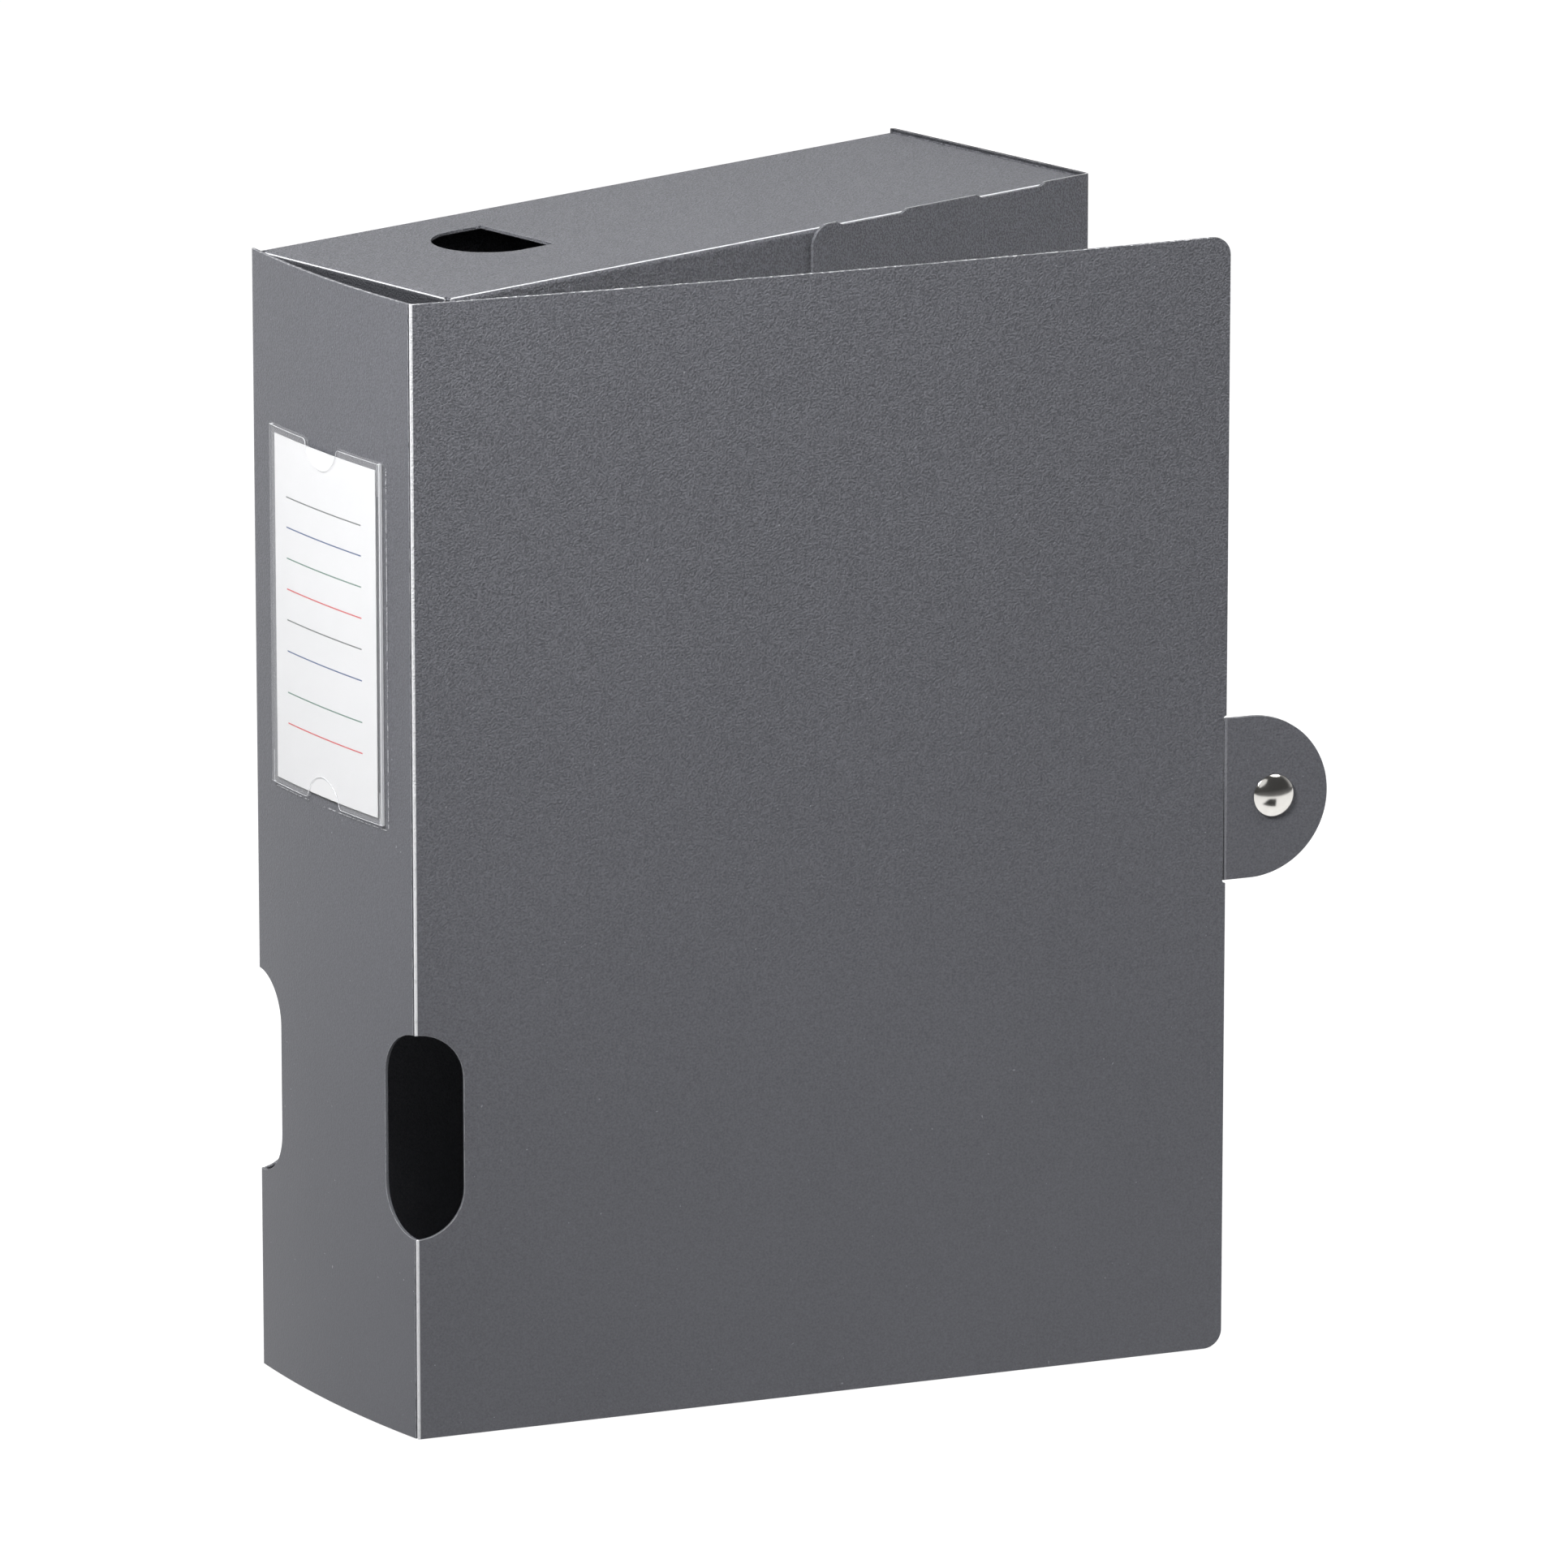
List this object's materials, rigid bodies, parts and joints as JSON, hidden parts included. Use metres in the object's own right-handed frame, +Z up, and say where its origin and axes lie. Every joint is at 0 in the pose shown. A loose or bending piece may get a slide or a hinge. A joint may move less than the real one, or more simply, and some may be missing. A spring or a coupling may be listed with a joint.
{
  "type": "box file",
  "caption": "Upright polypropylene document box with a hinged front cover, a press-stud closure tab, finger holes and a clear label pocket on a bowed spine.",
  "frame": {"origin": "centre of the bottom panel's outer face, on the surface that the file stands on", "axes": "+Z up along the height; the spine faces -X, the front cover closes against -Y and the back panel faces +Y"},
  "size_m": [0.2614, 0.1842, 0.33],
  "materials": {
    "sheet": "charcoal sheet with a fine sand grain",
    "nickel": "polished nickel plate",
    "film": "clear gloss film",
    "card": "smooth white card with thin ruled lines"
  },
  "bodies": {
    "tray": {"tray": "sheet", "stud_post": "nickel", "stud_rivet": "nickel"},
    "spine": {"spine": "sheet", "label_pocket": "film", "label_card": "card"},
    "cover": {"cover": "sheet"},
    "tab": {"closure_tab": "sheet", "stud_cap": "nickel", "stud_socket": "nickel"}
  },
  "joints": [
    {"name": "spine_hinge", "type": "hinge", "parent": "tray", "child": "spine", "pos_m": [-0.122, 0.042, 0.165], "axis": [0, 0, -1], "range_deg": [-8.9, 81.1]},
    {"name": "cover_hinge", "type": "hinge", "parent": "spine", "child": "cover", "pos_m": [-0.13523, -0.04247, 0.165], "axis": [0, 0, -1], "range_deg": [-11.9, 168.1]},
    {"name": "tab_hinge", "type": "hinge", "parent": "cover", "child": "tab", "pos_m": [0.09521, -0.13, 0.1645], "axis": [0, 0, 1], "range_deg": [-90, 82]}
  ]
}
